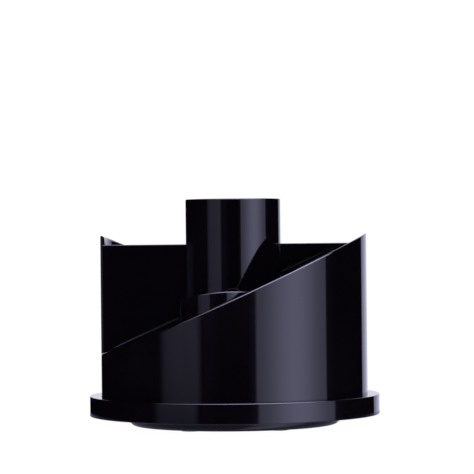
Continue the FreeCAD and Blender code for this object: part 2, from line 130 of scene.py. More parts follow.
class Graph:
    """Builds the nodes of one material or world."""

    def __init__(self, tree: bpy.types.NodeTree) -> None:
        """Start on a node tree, with all its nodes cleared."""
        self.tree = tree
        tree.nodes.clear()

    def node(self, kind: str, settings: dict[str, object] | None = None,
             inputs: Sockets | None = None, output: str | int = 0) -> Value:
        """Add a node.

        Args:
            kind: the node's type.
            settings: properties that are set first.
            inputs: values or links of its input sockets, by name or index.
            output: the output socket to return.

        Returns:
            The chosen output, as a value. For an output node, its first input.
        """
        made = self.tree.nodes.new(kind)
        for key, setting in (settings or {}).items():
            setattr(made, key, setting)
        for key, value in (inputs or {}).items():
            socket = made.inputs[key]
            if isinstance(value, Value):
                self.tree.links.new(value.socket, socket)
            elif isinstance(value, tuple) and len(value) == 3 and len(socket.default_value) == 4:
                socket.default_value = (*value, 1.0)
            else:
                socket.default_value = value
        return Value(self, made.outputs[output] if len(made.outputs) else made.inputs[0])

    def math(self, operation: str, *values: object) -> Value:
        """The result of a Math node."""
        return self.node("ShaderNodeMath", {"operation": operation}, dict(enumerate(values)))

    def ray(self, kind: str) -> Value:
        """Whether a ray is of a kind, as 0 or 1."""
        return self.node("ShaderNodeLightPath", output=f"Is {kind} Ray")

    def glow(self, kind: str, colour: Colour | Value, strength: float | Value) -> Value:
        """A shader that gives off light: Emission for a surface, Background for the world."""
        return self.node("ShaderNode" + kind, None, {"Color": colour, "Strength": strength})

    def mix(self, share: Value, first: Value, second: Value) -> Value:
        """A shader between two shaders."""
        return self.node("ShaderNodeMixShader", None, {0: share, 1: first, 2: second})

    def place(self) -> Value:
        """The place on the piece, in metres, in the frame of the organiser."""
        return self.node("ShaderNodeTexCoord", output="Object")

    def noise(self, place: Value, scale: float, detail: float = 2.0, rough: float = 0.5) -> Value:
        """Even noise from 0 to 1 at so many features in a metre."""
        return self.node("ShaderNodeTexNoise", {"noise_dimensions": "3D"},
                         {"Vector": place, "Scale": scale, "Detail": detail, "Roughness": rough})

    def stretched(self, place: Value, scale: Triple) -> Value:
        """The place, stretched by a factor along each axis."""
        return self.node("ShaderNodeMapping", None, {"Vector": place, "Scale": scale})

    def span(self, value: Value, low: float, high: float, start: float = 0.0,
             end: float = 1.0) -> Value:
        """A smooth step from start to end, while the value goes from low to high."""
        return self.node("ShaderNodeMapRange", {"interpolation_type": "SMOOTHSTEP"},
                         {"Value": value, "From Min": low, "From Max": high,
                          "To Min": start, "To Max": end})

    def blend(self, share: Value, first: Colour, second: Colour) -> Value:
        """A colour between two colours."""
        return self.node("ShaderNodeMix", {"data_type": "RGBA"},
                         {0: share, 6: first, 7: second}, 2)

    def bump(self, height: Value, depth: float, under: Value | None = None) -> Value:
        """A normal bumped by a depth in metres where the height is 1, over another normal."""
        base = {} if under is None else {"Normal": under}
        return self.node("ShaderNodeBump", None,
                         {"Height": height, "Distance": depth, "Strength": 1.0, **base})


# ---------------- finishes


@dataclass(frozen=True)
class Finish:
    """A surface finish that becomes one material.

    Scales are features in a metre, depths are metres and roughness is from 0 to 1.
    """

    name: str

    def material(self) -> bpy.types.Material:
        """The material, made the first time that it is asked for.

        Returns:
            The material.
        """
        found = bpy.data.materials.get(self.name)
        if found is None:
            found = bpy.data.materials.new(self.name)
            found.use_nodes = True
            graph = Graph(found.node_tree)
            shader = graph.node("ShaderNodeBsdfPrincipled", None, self.sockets(graph))
            graph.node("ShaderNodeOutputMaterial", None, {"Surface": shader})
        return found

    def sockets(self, graph: Graph) -> Sockets:
        """The values and links of the Principled sockets."""
        raise NotImplementedError


@dataclass(frozen=True)
class MouldedPlastic(Finish):
    """Moulded plastic: even colour with faint clouds, wiping marks and the ripple of the mould."""

    deep: Colour = (0.0023, 0.0014, 0.0034)
    worn: Colour = (0.0036, 0.0025, 0.0050)
    cloud_scale: float = 24.0
    rough_low: float = 0.045
    rough_high: float = 0.085
    wipe_scale: float = 42.0
    wipe_stretch: Triple = (1.0, 1.0, 9.0)
    ripple_scale: float = 160.0
    ripple_depth: float = 1.2e-6
    grain_scale: float = 5200.0
    grain_depth: float = 1.0e-7
    refraction: float = 1.5

    def sockets(self, graph: Graph) -> Sockets:
        """Colour clouds, roughness from wiping marks, and two sizes of bump.

        Args:
            graph: the material's graph.

        Returns:
            The sockets.
        """
        place = graph.place()
        clouds = graph.span(graph.noise(place, self.cloud_scale, detail=4.0), low=0.35, high=0.75)
        wiped = graph.noise(graph.stretched(place, self.wipe_stretch), self.wipe_scale,
                            detail=5.0, rough=0.62)
        wiping = graph.span(wiped, low=0.42, high=0.72, start=self.rough_low, end=self.rough_high)
        ripple = graph.bump(graph.noise(place, self.ripple_scale, detail=1.0), self.ripple_depth)
        grain = graph.bump(graph.noise(place, self.grain_scale), self.grain_depth, under=ripple)
        return {"Base Color": graph.blend(clouds, self.deep, self.worn), "Roughness": wiping,
                "IOR": self.refraction, "Normal": grain}


@dataclass(frozen=True)
class Rubber(Finish):
    """Soft matt rubber with a fine skin and a little dust."""

    deep: Colour = (0.012, 0.012, 0.013)
    dusty: Colour = (0.034, 0.033, 0.032)
    dust_scale: float = 260.0
    rough_low: float = 0.62
    rough_high: float = 0.82
    skin_scale: float = 2600.0
    skin_depth: float = 2.2e-5

    def sockets(self, graph: Graph) -> Sockets:
        """Dust in the colour and a fine skin in the bump.

        Args:
            graph: the material's graph.

        Returns:
            The sockets.
        """
        place = graph.place()
        specks = graph.noise(place, self.dust_scale, detail=6.0, rough=0.65)
        dust = graph.span(specks, low=0.45, high=0.7)
        skin = graph.bump(graph.noise(place, self.skin_scale, detail=3.0), self.skin_depth)
        return {"Base Color": graph.blend(dust, self.deep, self.dusty),
                "Roughness": graph.span(dust, 0.0, 1.0, self.rough_low, self.rough_high),
                "Normal": skin}


@dataclass(frozen=True)
class Metal(Finish):
    """Metal with fine level marks and patches of duller plate."""

    bright: Colour = (0.62, 0.63, 0.66)
    dull: Colour = (0.46, 0.47, 0.50)
    patch_scale: float = 310.0
    rough_low: float = 0.2
    rough_high: float = 0.42
    mark_scale: float = 900.0
    mark_stretch: Triple = (1.0, 1.0, 6.0)
    mark_depth: float = 6.0e-6

    def sockets(self, graph: Graph) -> Sockets:
        """Plate patches in colour and roughness, and a fine bump.

        Args:
            graph: the material's graph.

        Returns:
            The sockets.
        """
        place = graph.place()
        patchy = graph.noise(place, self.patch_scale, detail=5.0, rough=0.6)
        patches = graph.span(patchy, low=0.38, high=0.68)
        marks = graph.noise(graph.stretched(place, self.mark_stretch), self.mark_scale)
        return {"Base Color": graph.blend(patches, self.bright, self.dull), "Metallic": 1.0,
                "Roughness": graph.span(patches, 0.0, 1.0, self.rough_low, self.rough_high),
                "Normal": graph.bump(marks, self.mark_depth)}


@dataclass(frozen=True)
class Nylon(Finish):
    """Natural moulded nylon: warm white, satin, a little see-through at thin edges."""

    pale: Colour = (0.74, 0.71, 0.62)
    warm: Colour = (0.66, 0.61, 0.49)
    cloud_scale: float = 140.0
    rough_low: float = 0.34
    rough_high: float = 0.46
    skin_scale: float = 1900.0
    skin_depth: float = 4.0e-6
    see_through: float = 0.15
    see_through_depth: float = 0.002

    def sockets(self, graph: Graph) -> Sockets:
        """Warm clouds in the colour and a satin skin.

        Args:
            graph: the material's graph.

        Returns:
            The sockets.
        """
        place = graph.place()
        clouds = graph.span(graph.noise(place, self.cloud_scale, detail=3.0), low=0.35, high=0.7)
        return {"Base Color": graph.blend(clouds, self.pale, self.warm),
                "Roughness": graph.span(clouds, 0.0, 1.0, self.rough_low, self.rough_high),
                "Subsurface Weight": self.see_through,
                "Subsurface Scale": self.see_through_depth,
                "Normal": graph.bump(graph.noise(place, self.skin_scale), self.skin_depth)}


GLOSS_BLACK = MouldedPlastic("polished_black_plastic")
FOOT_BLACK = MouldedPlastic("satin_black_plastic", rough_low=0.13, rough_high=0.2,
                            grain_depth=8.0e-7)
PAD_RUBBER = Rubber("soft_pad_rubber")
ZINC_PLATE = Metal("bright_zinc_plate")
TURNED_STEEL = Metal("turned_steel", bright=(0.5, 0.51, 0.53), dull=(0.38, 0.38, 0.4))
POLISHED_STEEL = Metal("polished_ball_steel", bright=(0.74, 0.75, 0.77), dull=(0.68, 0.69, 0.71),
                       rough_low=0.06, rough_high=0.12, mark_depth=4.0e-7)
NATURAL_NYLON = Nylon("natural_nylon")


# ---------------- work on meshes


def polar(radius: float, degrees: float) -> Vector:
    """The place at a radius and an angle from +X, in the floor's plane."""
    angle = math.radians(degrees)
    return Vector((radius * math.cos(angle), radius * math.sin(angle), 0.0))


class Workpiece:
    """One mesh under work, shaped with the operators that a modeller uses by hand."""

    def __init__(self, name: str) -> None:
        """Take the active object, with its place moved into its mesh.

        Args:
            name: the name that it gets.
        """
        self.piece = bpy.context.active_object
        self.piece.name = name
        self.piece.data.name = name
        self.settle()

    @classmethod
    def cylinder(cls, name: str, radius: float, low: float, high: float, centre: Vector = CENTRE,
                 around: int = AROUND, top_radius: float | None = None,
                 bore: float | None = None) -> Workpiece:
        """A closed upright cylinder, cone or ring.

        Args:
            name: the piece's name.
            radius: radius at the lower end, in mm.
            low: height of the lower end, in mm.
            high: height of the upper end, in mm.
            centre: where its axis stands, in mm.
            around: edges in its circle.
            top_radius: radius at the upper end of a cone, in mm.
            bore: radius of the bore of a ring, in mm.

        Returns:
            The new workpiece.
        """
        middle = Vector((centre.x, centre.y, (low + high) / 2)) * MM
        upper = radius if top_radius is None else top_radius
        ends = "NGON" if bore is None else "NOTHING"
        bpy.ops.mesh.primitive_cone_add(vertices=around, radius1=radius * MM, radius2=upper * MM,
                                        depth=(high - low) * MM, end_fill_type=ends,
                                        location=middle)
        made = cls(name)
        if bore is not None:
            made.modify("SOLIDIFY", thickness=(radius - bore) * MM, offset=-1.0,
                        use_even_offset=True)
        return made

    @classmethod
    def block(cls, name: str, low: Vector, high: Vector) -> Workpiece:
        """A box.

        Args:
            name: the piece's name.
            low: its lowest corner, in mm.
            high: its highest corner, in mm.

        Returns:
            The new workpiece.
        """
        bpy.ops.mesh.primitive_cube_add(size=1.0, location=(low + high) / 2 * MM)
        bpy.context.active_object.scale = (high - low) * MM
        return cls(name)

    def modify(self, kind: str, **settings: object) -> None:
        """Add a modifier and apply it.

        Args:
            kind: the modifier's type.
            settings: its properties.
        """
        self.take_up()
        modifier = self.piece.modifiers.new(kind.lower(), kind)
        for key, setting in settings.items():
            setattr(modifier, key, setting)
        bpy.ops.object.modifier_apply(modifier=modifier.name)

    def take_up(self) -> None:
        """Make this the one selected and active object."""
        bpy.ops.object.select_all(action="DESELECT")
        self.piece.select_set(True)
        bpy.context.view_layer.objects.active = self.piece

    def settle(self) -> None:
        """Move the place, turn and size of the selected object into its mesh."""
        bpy.ops.object.transform_apply(location=True, rotation=True, scale=True)

    @contextmanager
    def editing(self, mode: str) -> Iterator[bmesh.types.BMesh]:
        """Edit mode with nothing selected.

        Args:
            mode: VERT, EDGE or FACE.

        Yields:
            The mesh, to select in.
        """
        self.take_up()
        bpy.ops.object.mode_set(mode="EDIT")
        bpy.ops.mesh.select_mode(type=mode)
        bpy.ops.mesh.select_all(action="DESELECT")
        yield bmesh.from_edit_mesh(self.piece.data)
        bpy.ops.object.mode_set(mode="OBJECT")

    def sink(self, test: FaceTest, wall: float, depth: Vector) -> None:
        """Inset the chosen face by a wall, then push it along a vector: this hollows a solid.

        Args:
            test: picks the face.
            wall: thickness of the wall that stays, in mm.
            depth: how far and which way the face goes, in mm.
        """
        with self.editing("FACE") as mesh:
            for face in mesh.faces:
                face.select_set(test(face.calc_center_median() / MM, face.normal))
            bmesh.update_edit_mesh(self.piece.data)
            bpy.ops.mesh.inset(thickness=wall * MM, use_even_offset=True)
            bpy.ops.mesh.extrude_region_move(TRANSFORM_OT_translate={"value": depth * MM})

    def round_edges(self, test: EdgeTest, radius: float, steps: int = 6) -> None:
        """Round some edges.

        Args:
            test: picks the edges.
            radius: radius of the rounding, in mm.
            steps: faces across the rounding.
        """
        with self.editing("EDGE") as mesh:
            for edge in mesh.edges:
                edge.select_set(test(edge.verts[0].co / MM, edge.verts[1].co / MM))
            bmesh.update_edit_mesh(self.piece.data)
            bpy.ops.mesh.bevel(offset=radius * MM, offset_type="OFFSET", segments=steps,
                               profile=0.5, affect="EDGES")

    def slice_off(self, point: Vector, normal: Vector, round_a_bore: bool = False) -> None:
        """Cut along a plane, drop what is on the side of its normal and close the cut.

        Args:
            point: a point of the plane, in mm.
            normal: the side of the plane that is dropped.
            round_a_bore: whether the cut is one ring, closed between its outer and inner edge.
        """
        with self.editing("EDGE"):
            bpy.ops.mesh.select_all(action="SELECT")
            bpy.ops.mesh.bisect(plane_co=point * MM, plane_no=normal, use_fill=not round_a_bore,
                                clear_outer=True, threshold=HAIR)
            if round_a_bore:
                bpy.ops.mesh.bridge_edge_loops()

    def combine(self, other: Workpiece, how: Combine) -> None:
        """Join another solid to this one, or cut it out of this one, and use it up."""
        self.modify("BOOLEAN", operation=how.value, object=other.piece, solver="EXACT")
        bpy.data.objects.remove(other.piece)

    def copy(self, name: str, degrees: float) -> Workpiece:
        """A copy with its own mesh, turned about the turning axis.

        Args:
            name: the copy's name.
            degrees: how far it is turned.

        Returns:
            The copy.
        """
        self.take_up()
        bpy.ops.object.duplicate(linked=False)
        bpy.context.active_object.rotation_euler = (0.0, 0.0, math.radians(degrees))
        return Workpiece(name)

    def ring(self, count: int, first: float = 0.0) -> Workpiece:
        """Repeat this round the turning axis, as one object.

        Args:
            count: how many the whole ring has.
            first: how far this one is turned from where it lies, in degrees.

        Returns:
            This workpiece.
        """
        step = 360.0 / count
        others = [self.copy(self.piece.name, first + step * index) for index in range(1, count)]
        self.piece.rotation_euler = (0.0, 0.0, math.radians(first))
        self.take_up()
        self.settle()
        for other in others:
            other.piece.select_set(True)
        bpy.ops.object.join()
        return self

    def smooth(self, sharp: float = 32.0) -> None:
        """Smooth shading with sharp corners, and flat sides that stay flat beside a rounding.

        Args:
            sharp: the least angle between two faces at a sharp corner, in degrees.
        """
        self.take_up()
        bpy.ops.object.shade_smooth_by_angle(angle=math.radians(sharp))
        self.modify("WEIGHTED_NORMAL", mode="FACE_AREA", weight=50, keep_sharp=True)

    def hand_over(self, *nodes: str, body: Body = Body.CAROUSEL, slot: Slot = Slot.GLOSS_BLACK,
                  finish: Finish = GLOSS_BLACK) -> None:
        """Dress the finished piece and give it its place in the frame.

        Args:
            nodes: the frame's nodes that it stands for.
            body: the body that it rides on.
            slot: the record's slot that its finish stands for; not used.
            finish: its finish.
        """
        self.piece.data.materials.clear()
        self.piece.data.materials.append(finish.material())
        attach(self.piece, body.value)
        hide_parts(*nodes)
        log.info("%s: %d faces", self.piece.name, len(self.piece.data.polygons))


def level_edge(height: float) -> EdgeTest:
    """A test for edges that lie level at a height, in mm."""
    return lambda a, b: abs(a.z - height) < ON_PLANE and abs(b.z - height) < ON_PLANE


def edge_about(axis: Vector, *radii: float) -> EdgeTest:
    """A test for edges that keep to a cylinder about an upright axis.

    Args:
        axis: a place on the axis, in mm.
        radii: the radii that pass, in mm.

    Returns:
        The test.
    """
    def passes(a: Vector, b: Vector) -> bool:
        """Whether both ends are at the same one of the radii."""
        aside = [math.hypot(end.x - axis.x, end.y - axis.y) for end in (a, b)]
        return any(all(abs(way - radius) < ON_CIRCLE for way in aside) for radius in radii)
    return passes


def level_circle(height: float, *radii: float) -> EdgeTest:
    """A test for edges of level circles about the turning axis, at a height, in mm."""
    level, about = level_edge(height), edge_about(CENTRE, *radii)
    return lambda a, b: level(a, b) and about(a, b)


def level_face(height: float) -> FaceTest:
    """A test for level faces at a height, in mm."""
    return lambda middle, normal: abs(middle.z - height) < ON_PLANE and abs(normal.z) > LEVEL


# ---------------- the organiser


@dataclass(frozen=True)
class Levels:
    """Heights that several sub-assemblies share, read from the frame, in mm."""

    foot_bottom: float
    hub_top: float
    race_seat: float
    spindle_end: float
    tray_top: float
    seat: float
    tube_top: float
    divider_top: float

    @classmethod
    def read(cls) -> Levels:
        """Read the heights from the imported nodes.

        Returns:
            The heights.
        """
        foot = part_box("foot_disc")
        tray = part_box("turntable_tray")
        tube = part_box("pen_tube")
        return cls(foot_bottom=foot[0].z / MM, hub_top=foot[1].z / MM,
                   race_seat=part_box("lower_race")[0].z / MM, spindle_end=tray[0].z / MM,
                   tray_top=tray[1].z / MM, seat=tube[0].z / MM, tube_top=tube[1].z / MM,
                   divider_top=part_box("right_divider")[1].z / MM)


@dataclass(frozen=True)
class DividerFit:
    """How a divider sits in the grooves of the tube and the walls, in mm."""

    thick: float = 2.0
    depth: float = 1.0
    clear: float = 0.1

    def cut_grooves(self, piece: Workpiece, levels: Levels, near: float, far: float) -> None:
        """Cut the right and the left groove into a piece.

        Args:
            piece: the piece.
            levels: the organiser's heights.
            near: where a groove starts, from the turning axis, in mm.
            far: where it ends, from the turning axis, in mm.
        """
        half = self.thick / 2 + self.clear
        for way in (1.0, -1.0):
            ends = sorted((way * near, way * far))
            low = Vector((ends[0], -half, levels.seat - PAST))
            high = Vector((ends[1], half, levels.divider_top + self.clear))
            piece.combine(Workpiece.block("groove", low, high), Combine.CUT)


@dataclass(frozen=True)
class ScrewBoss:
    """A boss that takes a screw from below, in mm."""

    radius: float = 3.2
    height: float = 9.2
    top_round: float = 0.4

    def join_to(self, piece: Workpiece, levels: Levels, low: float, place: Vector) -> None:
        """Add a boss to a piece.

        Args:
            piece: the piece.
            levels: the organiser's heights.
            low: the height that the boss starts at, in mm.
            place: where its axis stands, in mm.
        """
        top = levels.tray_top + self.height
        boss = Workpiece.cylinder("boss", self.radius, low, top, place, AROUND_SMALL)
        boss.round_edges(level_edge(top), self.top_round, steps=3)
        piece.combine(boss, Combine.JOIN)


@dataclass(frozen=True)
class Race:
    """The radii of the steel tracks that the balls run between, in mm."""

    outer: float = 37.1
    inner: float = 30.9


@dataclass
class ClipCups:
    """Two small round cups with leaning rims, between the tube and the walls."""

    levels: Levels
    radius: float = 20.575
    wall: float = 1.8
    centre_circle: float = 45.175
    direction: float = -98.3
    rim_height: float = 50.05
    rim_tilt: float = 11.4
    rim_toward: float = -70.0
    depth: float = 25.0
    floor: float = 1.8
    lip_round: float = 0.6
    column_radius: float = 3.2
    column_spread: float = 9.0

    def centre(self) -> Vector:
        """The middle of the front cup."""
        return polar(self.centre_circle, self.direction)

    def front(self) -> Workpiece:
        """Make the front cup: sleeve, leaning rim, raised floor and two screw columns.

        Returns:
            The cup.
        """
        base = self.levels.tray_top
        rim = base + self.rim_height
        floor_top = rim - self.depth
        middle = self.centre()
        inner = self.radius - self.wall
        cup = Workpiece.cylinder("front_clip_cup_moulding", self.radius, base, rim + self.radius,
                                 middle, AROUND_MIDDLE, bore=inner)
        lean = polar(math.tan(math.radians(self.rim_tilt)), self.rim_toward)
        rim_point = middle + UP * rim
        rim_normal = (UP - lean).normalized()
        cup.slice_off(rim_point, rim_normal, round_a_bore=True)
        round_it = edge_about(middle, self.radius, inner)

        def on_rim(a: Vector, b: Vector) -> bool:
            """Whether an edge runs round the rim, on its outer or on its inner side."""
            in_plane = all(abs((end - rim_point).dot(rim_normal)) < ON_PLANE for end in (a, b))
            return in_plane and round_it(a, b)

        cup.round_edges(on_rim, self.lip_round)
        floor = Workpiece.cylinder("floor", self.radius - self.wall / 2, floor_top - self.floor,
                                   floor_top, middle, AROUND_MIDDLE)
        cup.combine(floor, Combine.JOIN)
        for way in (90.0, -90.0):
            place = middle + polar(self.column_spread, self.direction + way)
            column = Workpiece.cylinder("column", self.column_radius, base,
                                        floor_top - self.floor / 2, place, AROUND_SMALL)
            cup.combine(column, Combine.JOIN)
        cup.smooth()
        return cup

    def build(self) -> None:
        """Make both cups."""
        front = self.front()
        back = front.copy("back_clip_cup_moulding", 180.0)
        front.hand_over("front_clip_cup")
        back.hand_over("back_clip_cup")


@dataclass
class Walls:
    """Two equal half-round walls whose tops climb from a low end to a tall end.

    Seen from the front, the top of the front wall follows a shallow arc. The reach and the height
    of its cutter are shares of the radius. Cutter and blank run past the wall by the spare.
    """

    levels: Levels
    cups: ClipCups
    fit: DividerFit = DividerFit()
    boss: ScrewBoss = ScrewBoss()
    radius: float = 68.2
    thick: float = 2.2
    low_height: float = 21.5
    high_height: float = 82.2
    sag: float = 1.35
    arc_steps: int = 40
    cutter_reach: float = 1.4
    cutter_height: float = 2.0
    spare: float = 2.0
    lip_round: float = 0.9
    end_bevel: float = 1.0
    end_angle: float = 25.0
    boss_bite: float = 0.8
    boss_gap: float = 0.3

    def boss_places(self) -> list[Vector]:
        """Find where the bosses stand: beside the cup and beside the dividers.

        Returns:
            The places of their axes, in mm.
        """
        circle = self.radius - self.thick - self.boss.radius + self.boss_bite
        reach = self.cups.radius + self.boss_gap + self.boss.radius
        cups = self.cups.centre_circle
        cosine = (circle**2 + cups**2 - reach**2) / (2 * circle * cups)
        beside_cup = math.degrees(math.acos(cosine))
        aside = self.fit.thick / 2 + self.boss_gap + self.boss.radius
        beside_divider = math.degrees(math.asin(aside / circle))
        facing = self.cups.direction
        angles = (-beside_divider, facing + beside_cup, facing - beside_cup, beside_divider - 180.0)
        return [polar(circle, angle) for angle in angles]

    def top_arc(self) -> tuple[Vector, float]:
        """Find the arc that the top follows.

        Returns:
            Its centre and its radius, in mm.
        """
        base = self.levels.tray_top
        low = Vector((-self.radius, 0.0, base + self.low_height))
        high = Vector((self.radius, 0.0, base + self.high_height))
        half = (high - low).length / 2
        away = Vector((low.z - high.z, 0.0, high.x - low.x)).normalized()
        rise = (half**2 - self.sag**2) / (2 * self.sag * away.z)
        return (low + high) / 2 + away * rise, math.hypot(half, rise)

    def space_above(self) -> Workpiece:
        """Make the space above the top: a tall face, spun along the arc from end to end.

        Returns:
            The space, as a solid.
        """
        centre, radius = self.top_arc()
        reach = self.cutter_reach * self.radius
        start = math.asin((-reach - centre.x) / radius)
        end = math.asin((reach - centre.x) / radius)
        tall = self.cutter_height * self.radius
        first = Vector((math.sin(start), 0.0, -math.cos(start)))
        middle = centre + first * (radius - tall / 2) - Vector((0.0, reach / 2 - self.spare, 0.0))
        bpy.ops.mesh.primitive_plane_add(size=1.0, location=middle * MM,
                                         rotation=(0.0, math.pi / 2 - start, 0.0))
        bpy.context.active_object.scale = Vector((tall, reach, 1.0)) * MM
        space = Workpiece("space_above")
        with space.editing("FACE"):
            bpy.ops.mesh.select_all(action="SELECT")
            bpy.ops.mesh.spin(steps=self.arc_steps, angle=end - start, center=centre * MM,
                              axis=(0.0, 1.0, 0.0))
            bpy.ops.mesh.select_all(action="SELECT")
            bpy.ops.mesh.normals_make_consistent(inside=False)
        return space

    def front(self) -> Workpiece:
        """Make the front wall, with its lip, divider grooves and screw bosses.

        Returns:
            The wall.
        """
        base = self.levels.tray_top
        inner = self.radius - self.thick
        wall = Workpiece.cylinder("front_wall_moulding", self.radius, self.levels.seat,
                                  base + self.high_height + self.spare, bore=inner)
        wall.slice_off(CENTRE, polar(1.0, 90.0))
        wall.slice_off(polar(self.radius - self.end_bevel, 0.0), polar(1.0, 90.0 - self.end_angle))
        wall.combine(self.space_above(), Combine.CUT)
        centre, arc_radius = self.top_arc()
        along_it = edge_about(CENTRE, self.radius, inner)

        def on_lip(a: Vector, b: Vector) -> bool:
            """Whether an edge runs along the top, on the outer or on the inner side."""
            away = [math.hypot(end.x - centre.x, end.z - centre.z) for end in (a, b)]
            return all(abs(way - arc_radius) < ON_ARC for way in away) and along_it(a, b)

        wall.round_edges(on_lip, self.lip_round)
        self.fit.cut_grooves(wall, self.levels, inner - PAST, inner + self.fit.depth)
        for place in self.boss_places():
            self.boss.join_to(wall, self.levels, base, place)
        wall.smooth()
        return wall

    def build(self) -> None:
        """Make both walls."""
        front = self.front()
        back = front.copy("back_wall_moulding", 180.0)
        front.hand_over("front_wall")
        back.hand_over("back_wall")


@dataclass
class PenTube:
    """The tall tube in the middle."""

    levels: Levels
    fit: DividerFit = DividerFit()
    boss: ScrewBoss = ScrewBoss()
    radius: float = 24.35
    wall: float = 2.0
    floor: float = 2.0
    lip_round: float = 0.42
    boss_count: int = 3
    boss_circle: float = 16.0
    first_boss: float = 90.0

    def build(self) -> None:
        """Make the tube: hollow, rounded lip, divider grooves and floor bosses."""
        low = self.levels.seat
        high = self.levels.tube_top
        tube = Workpiece.cylinder("pen_tube_moulding", self.radius, low, high)
        tube.sink(level_face(high), self.wall, UP * (low + self.floor - high))
        tube.round_edges(level_circle(high, self.radius, self.radius - self.wall), self.lip_round)
        self.fit.cut_grooves(tube, self.levels, self.radius - self.fit.depth, self.radius + PAST)
        for index in range(self.boss_count):
            place = polar(self.boss_circle, self.first_boss + 360.0 * index / self.boss_count)
            self.boss.join_to(tube, self.levels, low + self.floor / 2, place)
        tube.smooth()
        tube.hand_over("pen_tube")


@dataclass
class Dividers:
    """Two flat plates between the tube and the walls, held in their grooves."""

    levels: Levels
    walls: Walls
    tube: PenTube
    fit: DividerFit = DividerFit()
    edge_round: float = 0.3

    def build(self) -> None:
        """Make both dividers."""
        top = self.levels.divider_top
        half = self.fit.thick / 2
        inner = self.tube.radius - self.fit.depth + self.fit.clear
        outer = self.walls.radius - self.walls.thick + self.fit.depth - self.fit.clear
        plate = Workpiece.block("right_divider_plate", Vector((inner, -half, self.levels.seat)),
                                Vector((outer, half, top)))
        at_top = level_edge(top)
        plate.round_edges(lambda a, b: at_top(a, b) and abs(a.y - b.y) < ON_PLANE,
                          self.edge_round, steps=4)
        plate.smooth()
        left = plate.copy("left_divider_plate", 180.0)
        plate.hand_over("right_divider")
        left.hand_over("left_divider")


@dataclass
class Tray:
    """The turning tray under everything."""

    levels: Levels
    walls: Walls
    tube: PenTube
    race: Race = Race()
    radius: float = 74.2
    height: float = 10.1
    plate: float = 2.4
    skirt: float = 2.2
    top_round: float = 0.38
    bottom_round: float = 0.35
    seat_clear: float = 0.1
    spindle_radius: float = 6.0
    race_lip: float = 1.2
    rib_count: int = 12
    rib_thick: float = 1.4
    rib_height: float = 3.0
    rib_first: float = 17.0

    def ribs(self, under: float) -> Workpiece:
        """Make the ring of stiffening ribs under the plate.

        Args:
            under: height of the underside of the plate, in mm.

        Returns:
            The ring.
        """
        half = self.rib_thick / 2
        inner = self.race.outer + self.race_lip / 2
        rib = Workpiece.block("rib", Vector((inner, -half, under - self.rib_height)),
                              Vector((self.radius - self.skirt / 2, half, under + PAST)))
        return rib.ring(self.rib_count, self.rib_first)

    def build(self) -> None:
        """Make the tray: rim, skirt, ribs, race lips, spindle and the seats on top."""
        top = self.levels.tray_top
        low = top - self.height
        under = top - self.plate
        tray = Workpiece.cylinder("turntable_tray_moulding", self.radius, low, top)
        tray.sink(level_face(low), self.skirt, UP * (self.height - self.plate))
        tray.round_edges(level_edge(top), self.top_round)
        tray.round_edges(level_circle(low, self.radius, self.radius - self.skirt),
                         self.bottom_round, steps=3)
        for outer in (self.race.outer + self.race_lip, self.race.inner):
            lip = Workpiece.cylinder("lip", outer, under - self.race_lip, under + PAST,
                                     around=AROUND_MIDDLE, bore=outer - self.race_lip)
            tray.combine(lip, Combine.JOIN)
        tray.combine(self.ribs(under), Combine.JOIN)
        spindle = Workpiece.cylinder("spindle", self.spindle_radius, self.levels.spindle_end,
                                     under + PAST, around=AROUND_SMALL)
        tray.combine(spindle, Combine.JOIN)
        seats = ((self.walls.radius, self.walls.radius - self.walls.thick - self.seat_clear),
                 (self.tube.radius, None))
        for radius, bore in seats:
            seat = Workpiece.cylinder("seat", radius + self.seat_clear, self.levels.seat,
                                      top + PAST, bore=bore)
            tray.combine(seat, Combine.CUT)
        tray.smooth()
        tray.hand_over("turntable_tray")


